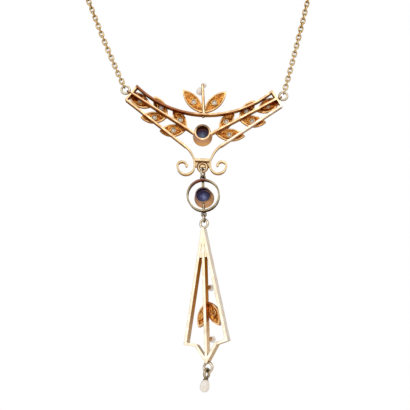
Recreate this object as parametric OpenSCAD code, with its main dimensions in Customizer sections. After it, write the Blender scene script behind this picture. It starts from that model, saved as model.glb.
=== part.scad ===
// Gold lavalier necklace with sapphires and seed pearls, worn form, millimetres, +Z up.
// The wearer faces +Y. The origin is the nape of the neck, at the middle of the clasp.
// The centrepiece is drawn in its own frame: X to the right as seen from behind, Z up,
// Y = 0 at the backs of its bars and the centre of its round setting at X = Z = 0.

/* [Place of the parts] */
// How far the centrepiece lies in front of the nape
front_y = 105; // [95:1:115]
// How far the middle of the round setting lies below the nape
drop_z = 131; // [115:1:145]
// Lean of the centrepiece to the right, in degrees, as in the photo
lean = 4; // [0:0.5:8]
// How far the long drop is turned on its links, in degrees
long_turn = -30; // [-45:5:45]

/* [Knife edge bars] */
// Width of a bar at the back
bar_back = 0.44; // [0.36:0.02:0.8]
// Width of a bar at its front edge
bar_edge = 0.26; // [0.1:0.02:0.4]
// Depth of the centrepiece's bars from back to front
bar_deep = 2.4; // [1.6:0.1:2.8]
// Depth of the long drop's bars
drop_deep = 1.76; // [1.0:0.02:2.2]
// Width of the long drop's bars at the back
drop_back = 0.7; // [0.4:0.02:0.9]

/* [Leaves] */
// Length of a leaf on a branch
leaf_long = 6.0; // [5:0.1:7]
// Width of a leaf
leaf_wide = 2.7; // [2:0.1:3.2]
// Thickness of a leaf
leaf_thick = 0.9; // [0.6:0.05:1.2]
// Width of the raised rim round a leaf's back
leaf_rim = 0.26; // [0.15:0.01:0.4]
// Depth of the hollow inside that rim
leaf_hollow = 0.25; // [0.1:0.05:0.4]
// Radius of the seed pearl in a leaf
seed_r = 0.62; // [0.5:0.01:0.7]

/* [Round settings] */
// Radius of the back opening of the centre setting
back_hole = 1.5; // [1.2:0.05:1.7]
// Outer radius of the centre setting at the back
back_r = 1.89; // [1.7:0.01:2.1]
// Outer radius of the centre setting at the front
front_r = 2.28; // [2:0.01:2.5]
// Depth of the centre setting
collet_deep = 4.9; // [3.5:0.1:5.5]
// Radius of both sapphires at the girdle
stone_r = 1.74; // [1.5:0.01:1.9]

/* [Ring drop] */
// Outer radius of the ring
ring_r = 3.8; // [3.5:0.01:4.2]
// Width of the ring's band as seen from behind
ring_band = 0.4; // [0.35:0.05:0.8]
// Depth of the ring's band
ring_deep = 2.0; // [0.8:0.1:2.4]
// How far the ring and its setting are turned between their eyelets, in degrees
ring_turn = -3.5; // [-10:0.5:10]

/* [Small rings and links] */
// Radius of the wire of the small rings
wire_r = 0.19; // [0.15:0.01:0.25]
// Radius of the heavier wire of the long drop's head and tail rings
ring_wire = 0.3; // [0.2:0.01:0.35]
// Clearance between a link and the ring that it hangs in
slack = 0.05; // [0.03:0.01:0.1]

/* [Pearls] */
// Radius of the round pearls on the stem and on the long drop
pearl_r = 0.8; // [0.7:0.05:1.2]
// Radius of the drop pearl
big_pearl_r = 1.1; // [0.9:0.02:1.4]

/* [Chain] */
// Width over a chain link
chain_wide = 1.3; // [1:0.05:1.6]

/* [Hidden] */
$fn = 48;

gold = "#D9B070";
blue = "#35406B";
white = "#EDE8DF";

// Centrepiece, in its own frame: points are [x, z].
bow_low = [0, 4.3];
bow_r = 23;
bow_sweep = 42.6;
end_top = [15.6, 10.4];
end_low = [18.0, 7.1];
end_mid = (end_top + end_low) / 2;
stem_in = [1.75, -0.35];
branch_in = [2.2, -0.1];
branch_dir = (end_mid - branch_in) / norm(end_mid - branch_in);
branch_angle = atan2(branch_dir[1], branch_dir[0]);
eye_at = [0.36, -8.1];
eye_wire = 0.34;
eye_r = 0.99;
lug_r = 0.55;
lug_wire = 0.17;
lug_out = 0.75;
jump_r = 0.94;
jump_wire = 0.25;
ring_out = lug_out + lug_r - lug_wire - jump_wire - slack + jump_r;
jump_at = end_mid + ring_out * branch_dir;
mid_deep = bar_deep / 2;

// Leaves of a branch in the order of the pearls, round its inner low leaf. Columns: distance of the base
// along the branch, turn of the tip from the branch in degrees, length, width. The last is a terminal leaf.
function along(s) = branch_in + s * branch_dir;
function branch_leaves(low) = [[1.96, 27, leaf_long, leaf_wide], low, [7.3, 26, leaf_long, leaf_wide],
    [7.44, -33, leaf_long, leaf_wide], [12.0, 0, leaf_long, leaf_wide + 0.4]];
// The same leaves and the spray's as base [x, z], direction in degrees, length and width.
function leaves(low) = concat(
    [for (l = branch_leaves(low)) [along(l[0]), branch_angle + l[1], l[2], l[3]]],
    [[[0.05, 5.3], 46.5, leaf_long + 1.3, leaf_wide + 0.1]]);
right_leaves = leaves([0.95, -34, leaf_long + 0.8, leaf_wide + 0.2]);
left_leaves = leaves([2.1, -36, leaf_long, leaf_wide + 0.2]);
leaf_y = bar_deep - 0.2;
pearl_step = 0.47;

// Drops, hung below the eye: heights from the middle of the centre setting.
eye_low = eye_at[1] - eye_r;
upper_r = 0.8;
upper_wire = 0.22;
upper_z = eye_low + eye_wire + slack - upper_r;
ringlet_r = 0.49;
ringlet_z = upper_z - upper_r + slack + wire_r - ringlet_r;
ring_z = -14.78;
ring_collet_deep = 4.5;
ring_collet_y = -1.1;
foot_z = ring_z - ring_r - 0.58;
lower_r = 0.65;
lower_wire = 0.2;
lower_z = foot_z - ringlet_r + wire_r + slack - lower_r;
head_r = 0.95;
head_z = lower_z - lower_r + slack + ring_wire - head_r;
upper_turn = -20;
lower_turn = -8;

// Long drop: its outline below the head ring, [x, z] from the middle of the centre setting.
apex = [0, -22.6];
shoulder = [5.3, -48.3];
notch = [2.6, -48.9];
point = [0, -52.7];
tail_r = 1.05;
tail_z = -53.95;
drop_leaf_z = -39.1;
drop_leaf_angle = -65;
bar_pearl_z = [-35.8, -47.5];
bar_pearl_y = 2.15;
web_long = 6.6;

// Pearl at the bottom, which hangs askew: tilt in degrees and place of its middle.
cap_tilt = 10.2;
pearl_mid = [-0.85, 0.15, -58.04];

hang_x = eye_at[0] * cos(lean) + eye_at[1] * sin(lean);
hang_y = 1.0;

// Route of the middle of each chain, from its jump ring to the clasp.
chain_r = chain_wide / 2;
right_route = [[19.33, 106.2, -121.46], [21.4, 106, -114.5], [23.9, 105.6, -105.8], [26.5, 104.4, -97],
    [33, 99, -80], [43, 84, -57], [52, 63, -35], [56, 39, -17], [51, 18, -6], [37, 6, -1.5],
    [20, 1, 0], [5.4, 0, 0]];
left_route = [[-18.09, 106.2, -118.93], [-20.3, 106, -113.5], [-23.1, 105.6, -106.2], [-26.3, 104.4, -97.4],
    [-33, 99, -80], [-43, 84, -57], [-52, 63, -35], [-56, 39, -17], [-51, 18, -6], [-37, 6, -1.5],
    [-20, 1, 0], [-5.4, 0, 0]];
rings_a_leg = [1, 2, 2, 3, 5, 5, 5, 5, 4, 4, 3];

// Places the centrepiece's own frame in the worn frame.
module on_neck() {
    translate([0, front_y, -drop_z]) rotate([0, lean, 0]) children();
}

// Places what hangs plumb below the eye.
module hung() {
    translate([hang_x, front_y + hang_y, -drop_z]) children();
}

// Turns the XY plane to the XZ plane with the extrusion going forward, to +Y.
module upright() {
    rotate([90, 0, 0]) mirror([0, 0, 1]) children();
}

// Cross-section of a knife-edge bar: depth to the front, then across.
module bar_section(deep, wide) {
    polygon([[0, -wide / 2], [deep, -bar_edge / 2], [deep, bar_edge / 2], [0, wide / 2]]);
}

// Straight knife-edge bar between two points [x, z].
module straight_bar(a, b, deep = bar_deep, wide = bar_back) {
    d = b - a;
    translate([a[0], 0, a[1]]) rotate([0, -atan2(d[1], d[0]), 0]) rotate([90, 0, 90])
        linear_extrude(norm(d)) bar_section(deep, wide);
}

// Curved knife-edge bar about a centre [x, z], from one angle through a sweep.
module curved_bar(c, r, from, sweep, deep = bar_deep, wide = bar_back) {
    translate([c[0], 0, c[1]]) rotate([90, 0, 0]) rotate([0, 0, from])
        rotate_extrude(angle = sweep) translate([r, 0]) rotate(-90) bar_section(deep, wide);
}

// Round post that closes the corner where bars meet.
module joint_post(p, deep = bar_deep, wide = bar_back) {
    translate([p[0], 0, p[1]]) rotate([-90, 0, 0])
        cylinder(h = deep, r1 = wide / 2 + 0.04, r2 = bar_edge / 2 + 0.04);
}

// Length of the straight part of the right and left lower bars, and the curl after it: left-hand turns as
// [radius, degrees], each starting where the last one ends. The two sides differ a little, as in the photo.
low_long = [16.8, 17.5];
curl_turns = [[[6.0, 53.5], [1.85, 180], [1.0, 175]], [[6.0, 53.5], [1.95, 180], [1.05, 175]]];

module curl(turns, p, heading, i = 0) {
    if (i < len(turns)) {
        r = turns[i][0];
        turn = turns[i][1];
        c = p + r * [-sin(heading), cos(heading)];
        curved_bar(c, r, heading - 90, turn, deep = 1.8);
        q = c + r * [sin(heading + turn), -cos(heading + turn)];
        joint_post(q, deep = 1.8, wide = i == len(turns) - 1 ? 0.7 : bar_back);
        curl(turns, q, heading + turn, i + 1);
    }
}

// Ring of round wire, its hole facing Y.
module wire_ring(r, wire) {
    rotate([90, 0, 0]) rotate_extrude() translate([r, 0]) circle(wire);
}

// Leaf outline with its base at the origin and its tip along X.
module leaf_outline(long, wide) {
    a = long / 2;
    b = wide / 2;
    r = (a * a + b * b) / (2 * b);
    intersection() {
        translate([a, b - r]) circle(r, $fn = 96);
        translate([a, r - b]) circle(r, $fn = 96);
    }
}

// Places a leaf [base, direction, length, width], drawn with its tip along X.
module at_leaf(l) {
    translate([l[0][0], leaf_y, l[0][1]]) rotate([0, -l[1], 0]) children();
}

module leaf_plate(l) {
    at_leaf(l) upright() linear_extrude(leaf_thick) leaf_outline(l[2], l[3]);
}

// Hollow in a leaf's back, and the hole for its pearl with a countersunk mouth.
module leaf_cut(l) {
    k = leaf_rim * 2.3;
    at_leaf(l) upright() {
        translate([k, 0, -0.01]) linear_extrude(leaf_hollow) leaf_outline(l[2] - 2 * k, l[3] - 2 * leaf_rim);
        translate([pearl_step * l[2], 0, -1]) cylinder(h = leaf_thick + 2, r = seed_r + 0.04);
        translate([pearl_step * l[2], 0, leaf_hollow - 0.02])
            cylinder(h = 0.28, r1 = seed_r + 0.32, r2 = seed_r);
    }
}

// Seed pearl of a leaf, let into its hole and showing at the front.
module seed_pearl(l) {
    at_leaf(l) translate([pearl_step * l[2], leaf_thick - 0.05, 0]) sphere(seed_r);
}

module mirrored() {
    children();
    mirror([1, 0, 0]) children();
}

// Half of the openwork, on the right as seen from behind, with the lower bar of either side.
module half_frame(side) {
    straight_bar(end_top, end_low);
    straight_bar(stem_in, end_mid);
    heading = 216.5;
    start = end_low + low_long[side] * [cos(heading), sin(heading)];
    straight_bar(start, end_low);
    joint_post(start);
    curl(curl_turns[side], start, heading);
    joint_post(end_top);
    joint_post(end_low);
    translate([0, mid_deep, 0]) lug();
}

// Small ring soldered to the middle of the end bar, seen edge-on.
module lug() {
    p = end_mid + lug_out * branch_dir;
    translate([p[0], 0, p[1]]) rotate([0, -branch_angle, 0]) rotate([90, 0, 0]) wire_ring(lug_r, lug_wire);
}

// Cone-shaped open-backed setting with its stone seat: back radius, front radius, hole and depth.
module collet_solid(r0, r1, hole, deep) {
    rotate([-90, 0, 0]) rotate_extrude() polygon([
        [hole, 0], [r0 - 0.08, 0], [r0, 0.12], [r1 - 0.02, deep - 0.5], [r1, deep - 0.35], [r1 - 0.12, deep],
        [stone_r - 0.05, deep], [stone_r + 0.04, deep - 0.55], [stone_r + 0.04, deep - 1.15],
        [hole + 0.12, deep - 1.9]]);
}

// Round cut stone facing +Y, its girdle at the origin: table, crown, girdle and pavilion.
module cut_stone(r) {
    rotate([-90, 0, 0]) hull() {
        translate([0, 0, 0.52]) cylinder(h = 0.04, r = 0.55 * r, $fn = 8);
        translate([0, 0, 0.30]) rotate(22.5) cylinder(h = 0.02, r = 0.84 * r, $fn = 8);
        cylinder(h = 0.06, r = r, $fn = 16);
        translate([0, 0, -0.72]) rotate(22.5) cylinder(h = 0.02, r = 0.52 * r, $fn = 8);
        translate([0, 0, -1.3]) cylinder(h = 0.02, r = 0.05, $fn = 8);
    }
}

// Pearl with a blind hole for its peg, the hole facing -Y.
module pegged_pearl(r, hole) {
    difference() {
        sphere(r);
        rotate([-90, 0, 0]) translate([0, 0, -r - 1]) cylinder(h = 1 + hole, r = 0.2);
    }
}

// Stem of the spray, leaning a little to the left.
stem_low = [0.15, 4.1];
stem_top = [-0.5, 11.8];
stem_dir = (stem_top - stem_low) / norm(stem_top - stem_low);
function on_stem(s) = stem_low + s * stem_dir;
stem_pearl_s = [6.55, 8.0];
stem_pearl_r = [0.95, 0.64];
stem_pearl_turn = [-27, 18];
stem_y = bar_deep - 0.4;

// Places a stem pearl's peg at the stem, turned so that +Y leads to the pearl.
module at_stem_pearl(i) {
    p = on_stem(stem_pearl_s[i]);
    translate([p[0], stem_y, p[1]]) rotate([0, 0, -stem_pearl_turn[i]]) children();
}

module spray() {
    d = stem_top - stem_low;
    translate([stem_low[0], stem_y, stem_low[1]]) rotate([0, atan2(d[0], d[1]), 0]) {
        cylinder(h = norm(d), r1 = 0.38, r2 = 0.3);
        translate([0, 0, norm(d)]) sphere(0.33);
    }
    for (i = [0, 1])
        at_stem_pearl(i) rotate([-90, 0, 0]) cylinder(h = 0.9, r = 0.15);
    translate([0, 1.1, 3.95]) sphere(0.34);
}

// Bridge between the scrolls: a rail, and below it a sunk plate that the eye is soldered to.
module bridge() {
    translate([-1.65, 0.1, -6.85]) cube([3.75, 1.65, 0.65]);
    translate([-1.6, 1.0, -8.12]) cube([3.7, 0.7, 1.42]);
    translate([eye_at[0], hang_y, eye_at[1]]) wire_ring(eye_r, eye_wire);
}

module centrepiece() {
    color(gold) on_neck() {
        half_frame(0);
        mirror([1, 0, 0]) half_frame(1);
        curved_bar(bow_low + [0, bow_r], bow_r, -90 - bow_sweep, 2 * bow_sweep);
        difference() {
            union() {
                for (l = right_leaves) leaf_plate(l);
                mirror([1, 0, 0]) for (l = left_leaves) leaf_plate(l);
            }
            for (l = right_leaves) leaf_cut(l);
            mirror([1, 0, 0]) for (l = left_leaves) leaf_cut(l);
        }
        spray();
        collet_solid(back_r, front_r, back_hole, collet_deep);
        bridge();
    }
}

module centre_sapphire() {
    color(blue) on_neck() translate([0, collet_deep - 0.85, 0]) cut_stone(stone_r);
}

// Pearls 1 to 5 are on the right branch from the inside out, 6 is in the spray, 7 to 12 the same on the left.
module seed_pearl_no(n) {
    leaves = n > 6 ? left_leaves : right_leaves;
    color(white) on_neck() mirror([n > 6 ? 1 : 0, 0, 0]) seed_pearl(leaves[(n - 1) % 6]);
}

module stem_pearl(i) {
    color(white) on_neck() at_stem_pearl(i) translate([0, 0.36 + stem_pearl_r[i], 0])
        pegged_pearl(stem_pearl_r[i], 0.6);
}

// Jump ring at one end of the centrepiece, face-on.
module jump_ring(side) {
    color(gold) on_neck() translate([side * jump_at[0], mid_deep, jump_at[1]]) wire_ring(jump_r, jump_wire);
}

// Point of a smooth curve through the route, on leg i at fraction t.
function bend(route, i, t) =
    let (n = len(route),
        a = route[max(i - 1, 0)], b = route[i], c = route[i + 1], d = route[min(i + 2, n - 1)])
    0.5 * (2 * b + (c - a) * t + (2 * a - 5 * b + 4 * c - d) * t * t + (3 * b - a - 3 * c + d) * t * t * t);

function path_of(route) = concat(
    [for (i = [0:len(route) - 2]) for (k = [0:rings_a_leg[i] - 1]) bend(route, i, k / rings_a_leg[i])],
    [route[len(route) - 1]]);

function heading_at(path, i) =
    let (d = path[min(i + 1, len(path) - 1)] - path[max(i - 1, 0)]) d / norm(d);

// Tube swept along a path as one polyhedron, with eight sides.
module tube(path, r, sides = 8) {
    n = len(path);
    points = [for (i = [0:n - 1]) let (
            h = heading_at(path, i),
            u0 = cross(h, [0, -0.8, 0.6]),
            u = u0 / norm(u0),
            v = cross(h, u))
        for (k = [0:sides - 1]) path[i] + r * (cos(360 * k / sides) * u + sin(360 * k / sides) * v)];
    walls = [for (i = [0:n - 2]) for (k = [0:sides - 1]) let (
            a = i * sides + k,
            b = i * sides + (k + 1) % sides)
        each [[a, a + sides, b], [b, a + sides, b + sides]]];
    first = [for (k = [0:sides - 1]) k];
    last = [for (k = [0:sides - 1]) n * sides - 1 - k];
    polyhedron(points, concat([first], walls, [last]));
}

module chain(route) {
    color(gold) tube(path_of(route), chain_r);
}

// Plain barrel clasp with a ring at each end for the chain.
module clasp() {
    color(gold) {
        rotate([0, 90, 0]) rotate_extrude() polygon([[0, -3.7], [0.45, -3.7], [0.7, -3.35], [1.45, -2.7],
            [1.6, -2.3], [1.6, 2.3], [1.45, 2.7], [0.7, 3.35], [0.45, 3.7], [0, 3.7]]);
        mirrored() translate([4.2, 0, 0]) wire_ring(0.6, 0.22);
    }
}

// Small ring between two parts, seen edge-on at turn 0.
module hanging_link(z, r, wire, turn) {
    color(gold) hung() translate([0, 0, z]) rotate([0, 0, 90 + turn]) wire_ring(r + wire, wire);
}

module ring_drop() {
    back = -ring_deep / 2;
    color(gold) hung() {
        rotate([0, 0, ring_turn]) translate([0, 0, ring_z]) {
            translate([0, back, 0]) rotate([-90, 0, 0]) rotate_extrude($fn = 96) polygon([
                [ring_r - ring_band, 0], [ring_r, 0], [ring_r - 0.08, ring_deep],
                [ring_r - ring_band + 0.08, ring_deep]]);
            translate([0, ring_collet_y, 0]) collet_solid(1.84, 2.3, 1.58, ring_collet_deep);
        }
        translate([0, 0, ring_z + 1.8]) cylinder(h = ring_r - 2.05, r = 0.3);
        translate([0, 0, ring_z - ring_r + 0.25]) cylinder(h = ring_r - 2.1, r = 0.3);
        translate([0, 0, ringlet_z]) wire_ring(ringlet_r, wire_r);
        translate([0, 0, foot_z]) wire_ring(ringlet_r, wire_r);
        translate([0, 0, ring_z - ring_r - 0.3]) cylinder(h = 0.45, r1 = 0.35, r2 = 0.75);
    }
}

module ring_sapphire() {
    color(blue) hung() rotate([0, 0, ring_turn])
        translate([0, ring_collet_y + ring_collet_deep - 0.85, ring_z]) cut_stone(stone_r);
}

// Places the long drop, turned about the plumb line.
module long_hung() {
    hung() rotate([0, 0, long_turn]) children();
}

// Leaf on the long drop, moved back to its thinner bars.
drop_leaf = [[0.0, drop_leaf_z], drop_leaf_angle, leaf_long + 0.2, leaf_wide];
drop_leaf_y = drop_deep / 2 - 0.2 - leaf_y;

module long_drop() {
    color(gold) long_hung() {
        translate([0, -drop_deep / 2, 0]) {
            mirrored() {
                straight_bar(apex, shoulder, drop_deep, drop_back);
                straight_bar(notch, shoulder, drop_deep, drop_back);
                straight_bar(point, notch, drop_deep, drop_back);
                joint_post(shoulder, drop_deep, drop_back);
                joint_post(notch, drop_deep, drop_back);
            }
            straight_bar(point, apex, drop_deep, drop_back);
            joint_post(point, drop_deep, drop_back);
            joint_post(apex, drop_deep, drop_back);
            apex_web();
        }
        difference() {
            mirrored() translate([0, drop_leaf_y, 0]) leaf_plate(drop_leaf);
            mirrored() translate([0, drop_leaf_y, 0]) leaf_cut(drop_leaf);
        }
        for (z = bar_pearl_z) translate([0, 0, z]) pearl_cup();
        translate([0, 0, head_z]) wire_ring(head_r, ring_wire);
        translate([0, 0, tail_z]) wire_ring(tail_r, ring_wire);
    }
}

// Solder that fills the narrow angle between the three bars below the apex.
module apex_web() {
    half = web_long * (shoulder[0] - apex[0]) / (apex[1] - shoulder[1]);
    foot = apex[1] - web_long;
    translate([0, 0.05, 0]) upright() linear_extrude(drop_deep - 0.4)
        polygon([apex - [0, 0.2], [half, foot], [-half, foot]]);
}

// Cup and peg for a pearl on the front edge of the middle bar.
module pearl_cup() {
    rotate([-90, 0, 0]) cylinder(h = bar_pearl_y - 0.3, r = 0.15);
    difference() {
        translate([0, drop_deep / 2 - 0.15, 0]) rotate([-90, 0, 0]) cylinder(h = 0.95, r1 = 0.22, r2 = 0.55);
        translate([0, bar_pearl_y, 0]) sphere(pearl_r + 0.04);
    }
}

module drop_pearl(side) {
    color(white) long_hung() mirror([side, 0, 0]) translate([0, drop_leaf_y, 0]) seed_pearl(drop_leaf);
}

module bar_pearl(i) {
    color(white) long_hung() translate([0, bar_pearl_y, bar_pearl_z[i]]) pegged_pearl(pearl_r, 0.6);
}

// Frame of the pearl at the bottom, tilted as in the photo, origin at the pearl's middle.
module pearl_frame() {
    hung() translate(pearl_mid) rotate([0, cap_tilt, 0]) children();
}

loop_turn = 60;
loop_r = 1.0;
loop_z = 2.8;

// Cap and peg of the pearl with the ring that hangs in the tail ring.
module pearl_cap() {
    color(gold) pearl_frame() {
        rotate_extrude()
            polygon([[0, 1.51], [0.36, 1.45], [0.58, 1.29], [0.66, 1.35], [0.42, 1.62], [0, 1.7]]);
        translate([0, 0, 0.3]) cylinder(h = 1.3, r = 0.16);
        rotate([0, 0, loop_turn]) translate([0, 0, loop_z]) wire_ring(loop_r, ring_wire);
    }
}

// Drop pearl: a ball stretched a little, with a blind hole for its peg.
module hanging_pearl() {
    color(white) pearl_frame() difference() {
        rotate_extrude() intersection() {
            translate([0, -2]) square([2, 4]);
            pearl_side();
        }
        translate([0, 0, 0.2]) cylinder(h = 2, r = 0.2);
    }
}

// Side of the drop pearl: a wide foot, a narrower shoulder and a straight flank between.
module pearl_side() {
    foot = [0, -1.45 + big_pearl_r];
    top_r = big_pearl_r - 0.16;
    top = [0, 1.45 - top_r];
    lean_in = asin((big_pearl_r - top_r) / (top[1] - foot[1]));
    side = [cos(lean_in), sin(lean_in)];
    translate(foot) circle(big_pearl_r);
    translate(top) circle(top_r);
    polygon([foot, foot + big_pearl_r * side, top + top_r * side, top]);
}

centrepiece();
centre_sapphire();
for (n = [1:12])
    seed_pearl_no(n);
stem_pearl(0);  // stem_pearl_low
stem_pearl(1);  // stem_pearl_high
jump_ring(-1);  // jump_ring_left
jump_ring(1);  // jump_ring_right
chain(left_route);  // chain_left
chain(right_route);  // chain_right
clasp();
hanging_link(upper_z, upper_r, upper_wire, upper_turn);  // upper_link
ring_drop();
ring_sapphire();
hanging_link(lower_z, lower_r, lower_wire, lower_turn);  // lower_link
long_drop();
drop_pearl(1);  // drop_pearl_left
drop_pearl(0);  // drop_pearl_right
bar_pearl(0);  // bar_pearl_high
bar_pearl(1);  // bar_pearl_low
pearl_cap();
hanging_pearl();
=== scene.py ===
"""Looks of a gold lavalier necklace with sapphires and seed pearls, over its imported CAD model.

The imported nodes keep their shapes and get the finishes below. The two plain chain tubes are replaced by
interlocking links, and the leaves' hollow backs get dishes, with a burr round each pearl's hole. Objects are
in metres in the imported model's frame, and sizes in the classes are in millimetres.
"""

import logging
import math
from dataclasses import dataclass, field
from enum import Enum
from typing import Any, NamedTuple, Sequence

import bmesh
import bpy
from mathutils import Matrix, Vector


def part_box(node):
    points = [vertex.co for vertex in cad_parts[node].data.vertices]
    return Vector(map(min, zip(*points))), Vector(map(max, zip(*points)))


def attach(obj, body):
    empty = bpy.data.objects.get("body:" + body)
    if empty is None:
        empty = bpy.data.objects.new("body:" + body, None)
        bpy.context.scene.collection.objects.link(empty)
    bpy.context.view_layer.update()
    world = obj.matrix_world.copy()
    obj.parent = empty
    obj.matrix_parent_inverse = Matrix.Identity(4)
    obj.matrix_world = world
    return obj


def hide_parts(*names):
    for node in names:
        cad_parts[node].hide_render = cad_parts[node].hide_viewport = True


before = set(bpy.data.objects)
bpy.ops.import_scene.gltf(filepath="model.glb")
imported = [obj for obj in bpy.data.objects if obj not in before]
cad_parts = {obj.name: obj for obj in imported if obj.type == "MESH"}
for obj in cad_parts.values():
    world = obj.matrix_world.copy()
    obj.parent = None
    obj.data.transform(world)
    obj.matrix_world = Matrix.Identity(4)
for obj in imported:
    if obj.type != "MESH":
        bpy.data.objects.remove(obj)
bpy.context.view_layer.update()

MM = 0.001
log = logging.getLogger("necklace")

Tree = bpy.types.NodeTree
Node = bpy.types.Node
Socket = bpy.types.NodeSocket
Material = bpy.types.Material
Point = tuple[float, float, float]


class Side(Enum):
    """The two ends of the centrepiece, as seen from behind."""

    LEFT = -1
    RIGHT = 1


class Slot(Enum):
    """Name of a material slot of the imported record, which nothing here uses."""

    GOLD = "gold"


@dataclass(frozen=True)
class Fade:
    """Range of a value over which a level goes from one end to the other, and holds beyond them.

    Attributes:
        start: Value where it starts.
        end: Value where it ends.
        low: Level at the start.
        high: Level at the end.
        soft: Whether it eases in and out.
    """

    start: float
    end: float
    low: float = 0.0
    high: float = 1.0
    soft: bool = False


class Line(NamedTuple):
    """Straight line in the plane of the necklace.

    Attributes:
        x: X of a point on it, in millimetres.
        z: Z of that point.
        fall: Its fall toward +X, in degrees.
    """

    x: float
    z: float
    fall: float


class Arc(NamedTuple):
    """Middle line of a curved bar in the plane of the necklace.

    Attributes:
        x: X of its centre, in millimetres.
        z: Z of its centre.
        radius: Its radius.
    """

    x: float
    z: float
    radius: float


Part = Socket | tuple[Socket, Fade]
# Noise over which a cloud goes from clear to full.
CLOUD_EDGE = Fade(0.38, 0.68)
# Share of a place that takes neither a buff's pale tone nor painted highlight, by the share that takes them.
UNBUFFED_AND_UNLIT = Fade(1.0, 0.0)
# Half the width of a soft edge between two tones.
BLUR_MM = 0.05


def linear(colour: str) -> tuple[float, float, float, float]:
    """Turn an sRGB hex colour into linear values.

    Args:
        colour: Six hex digits with a leading hash.

    Returns:
        Linear red, green and blue with an alpha of one.
    """
    values = [int(colour[i : i + 2], 16) / 255 for i in (1, 3, 5)]
    r, g, b = (v / 12.92 if v <= 0.04045 else ((v + 0.055) / 1.055) ** 2.4 for v in values)
    return r, g, b, 1.0


def add(tree: Tree, kind: str, inputs: dict[Any, Any] | None = None, **settings: Any) -> Node:
    """Add a node with its settings, values and links.

    Args:
        tree: Node tree that the node goes into.
        kind: Blender's name of the node type.
        inputs: Value or source for each input, by name or number. A node as a source is its first output.
        settings: Properties of the node.

    Returns:
        The new node.
    """
    node = tree.nodes.new(kind)
    for name, value in settings.items():
        setattr(node, name, value)
    for key, value in (inputs or {}).items():
        source = value.outputs[0] if isinstance(value, Node) else value
        if isinstance(source, Socket):
            tree.links.new(source, node.inputs[key])
        else:
            node.inputs[key].default_value = source
    return node


def put(name: str, data: bpy.types.ID) -> bpy.types.Object:
    """Make an object at the origin of the scene.

    Args:
        name: Name of the object.
        data: Its mesh, light or camera.

    Returns:
        The object.
    """
    thing = bpy.data.objects.new(name, data)
    bpy.context.scene.collection.objects.link(thing)
    return thing


def blank_material(name: str) -> tuple[Material, Tree]:
    """Make an empty node material.

    Args:
        name: Name of the material.

    Returns:
        The material and its cleared tree.
    """
    material = bpy.data.materials.new(name)
    material.use_nodes = True
    material.node_tree.nodes.clear()
    return material, material.node_tree


def level(tree: Tree, *parts: Part) -> Socket:
    """Work out a share, or a size, from parts that are multiplied.

    Args:
        tree: Tree that the nodes go into.
        parts: Shares, and values with the range that each fades over.

    Returns:
        The product.
    """
    product: Socket | None = None
    for part in parts:
        if isinstance(part, tuple):
            value, fade = part
            ends = {"From Min": fade.start, "From Max": fade.end, "To Min": fade.low, "To Max": fade.high}
            part = add(tree, "ShaderNodeMapRange", {"Value": value, **ends},
                       interpolation_type="SMOOTHSTEP" if fade.soft else "LINEAR").outputs["Result"]
        if product is None:
            product = part
        else:
            product = add(tree, "ShaderNodeMath", {0: product, 1: part}, operation="MULTIPLY").outputs[0]
    return product


def lay(tree: Tree, under: Socket | str, over: Socket | str, *parts: Part) -> Socket:
    """Lay one colour over another.

    Args:
        tree: Tree that the nodes go into.
        under: Lower colour, as a socket or a hex colour.
        over: Upper colour, likewise.
        parts: What says how much of the upper colour shows, as in level.

    Returns:
        The mixed colour.
    """
    tones = [linear(tone) if isinstance(tone, str) else tone for tone in (under, over)]
    return add(tree, "ShaderNodeMix", {0: level(tree, *parts), 6: tones[0], 7: tones[1]},
               data_type="RGBA").outputs[2]


def clouded(tree: Tree, point: Socket, size_mm: float, first: str, second: str) -> Socket:
    """Cloud one tone with another.

    Args:
        tree: The material's tree.
        point: Position in millimetres.
        size_mm: Size of a cloud.
        first: Main tone.
        second: Tone of the clouds.

    Returns:
        The clouded colour.
    """
    cloud = add(tree, "ShaderNodeTexNoise", {"Vector": point, "Scale": 1 / size_mm, "Detail": 3.0,
                "Roughness": 0.6})
    return lay(tree, first, second, (cloud.outputs["Fac"], CLOUD_EDGE))


def from_origin(tree: Tree, origin_mm: Sequence[float], turn: float = 0.0) -> Socket:
    """Measure a place on a piece in millimetres.

    Args:
        tree: The material's tree.
        origin_mm: Point that it is measured from.
        turn: Turn of the piece about the plumb line in degrees, which is taken out.

    Returns:
        The place.
    """
    back = Matrix.Rotation(math.radians(-turn), 3, "Z")
    where = add(tree, "ShaderNodeTexCoord")
    return add(tree, "ShaderNodeMapping", {"Vector": where.outputs["Object"], "Rotation": back.to_euler(),
               "Location": back @ -Vector(origin_mm), "Scale": [1 / MM] * 3}).outputs[0]


def from_axis(tree: Tree, point: Socket, x: float = 0.0, z: float = 0.0) -> Socket:
    """Measure the distance from an axis that runs forward.

    Args:
        tree: The material's tree.
        point: Position in millimetres.
        x: X of the axis.
        z: Z of the axis.

    Returns:
        Distance in millimetres.
    """
    flat = add(tree, "ShaderNodeVectorMath", {0: point, 1: (1.0, 0.0, 1.0)}, operation="MULTIPLY")
    return add(tree, "ShaderNodeVectorMath", {0: flat, 1: (x, 0.0, z)},
               operation="DISTANCE").outputs["Value"]


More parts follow.
